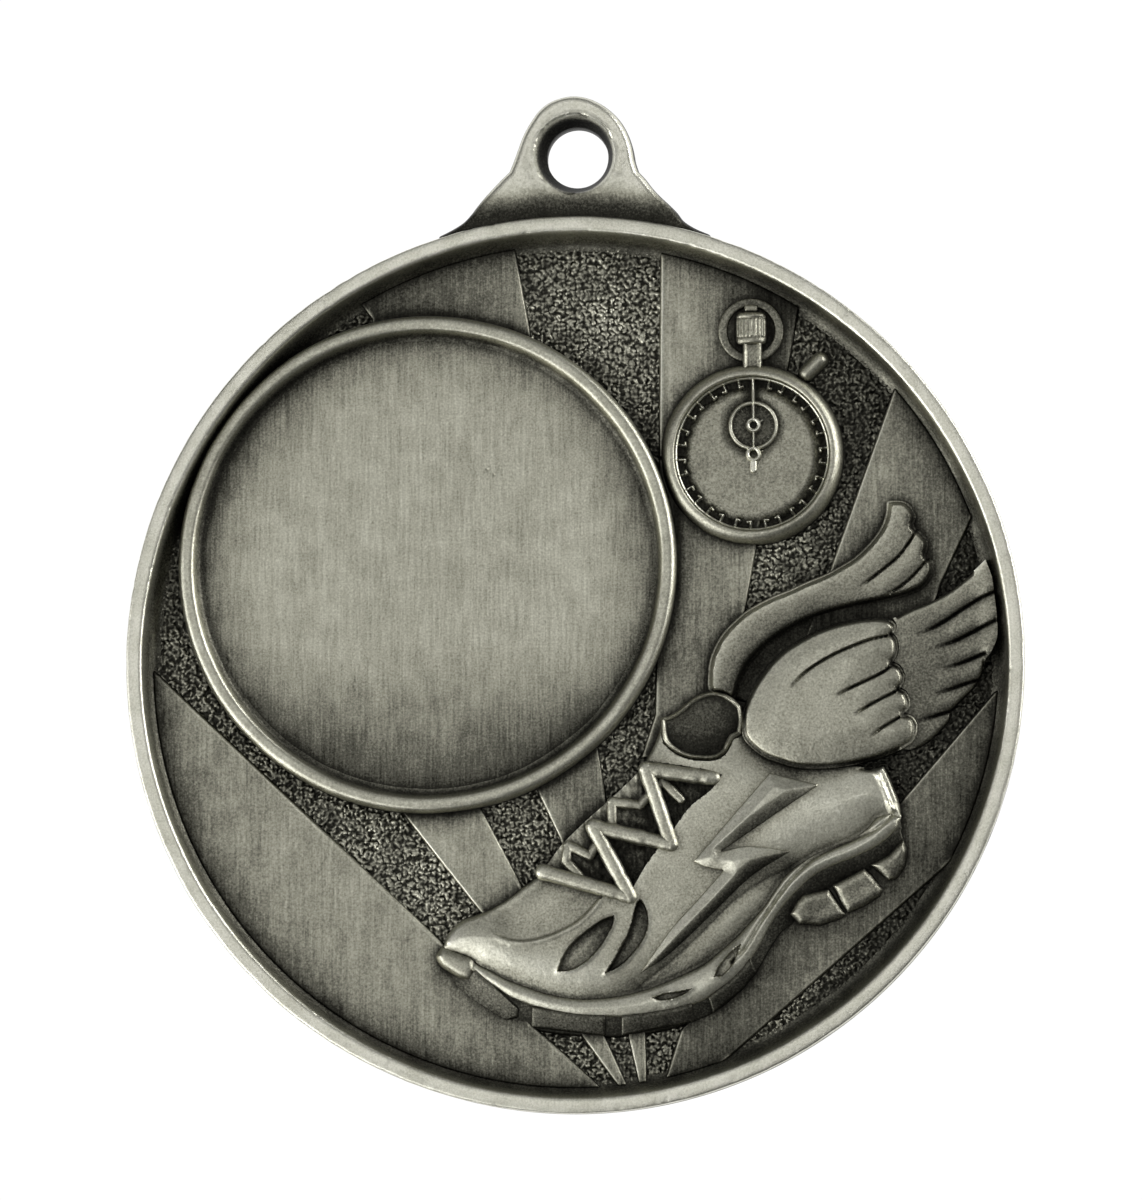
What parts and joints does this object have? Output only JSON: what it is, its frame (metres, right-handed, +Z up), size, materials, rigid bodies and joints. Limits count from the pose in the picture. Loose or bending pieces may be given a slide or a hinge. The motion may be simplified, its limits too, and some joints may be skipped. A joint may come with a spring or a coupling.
{
  "type": "sports finisher medal",
  "caption": "Round die-cast finisher medal with a hanging loop, raised rim, empty recess for a round insert, and a relief of a winged running shoe and a stopwatch over a sunburst.",
  "frame": {"origin": "on the hanger hole's axis, at the medal's mid-thickness", "axes": "+Z up from the medal's centre through the hanging loop, -Y out of the decorated face, +X to the right seen from the front"},
  "size_m": [0.05, 0.0032, 0.0569],
  "materials": {
    "worn_silver": "antique silver plating on zinc alloy, rubbed bright on the high edges",
    "relief_silver": "antique silver plating, satin, darkened in the hollows",
    "brushed_silver": "antique silver plating with a fine brushed grain",
    "oxidised_silver": "antique silver plating left dark over a hammered texture"
  },
  "bodies": {
    "root": {"back_plate": "brushed_silver", "hanger_loop": "worn_silver", "insert_bezel": "worn_silver", "insert_seat": "brushed_silver", "raised_rim": "worn_silver", "ray_centre": "brushed_silver", "ray_left": "brushed_silver", "ray_lower_left": "brushed_silver", "ray_lower_right": "brushed_silver", "ray_right": "brushed_silver", "ray_tail_left": "brushed_silver", "ray_tail_middle": "brushed_silver", "ray_upper_left": "brushed_silver", "ray_watch_foot": "brushed_silver", "ray_watch_top": "brushed_silver", "shoe_collar": "relief_silver", "shoe_flash": "relief_silver", "shoe_laces": "relief_silver", "shoe_lining": "relief_silver", "shoe_midsole": "relief_silver", "shoe_outsole": "relief_silver", "shoe_toe_bumper": "relief_silver", "shoe_tongue": "relief_silver", "shoe_treads": "relief_silver", "shoe_upper": "relief_silver", "stippled_ground": "oxidised_silver", "watch_bow": "relief_silver", "watch_case": "worn_silver", "watch_crown": "relief_silver", "watch_dial": "relief_silver", "watch_hand": "relief_silver", "watch_minute_track": "relief_silver", "watch_pusher": "relief_silver", "watch_subdial": "relief_silver", "wing_coverts": "relief_silver", "wing_primaries": "relief_silver", "wing_rear": "relief_silver"}
  },
  "joints": []
}
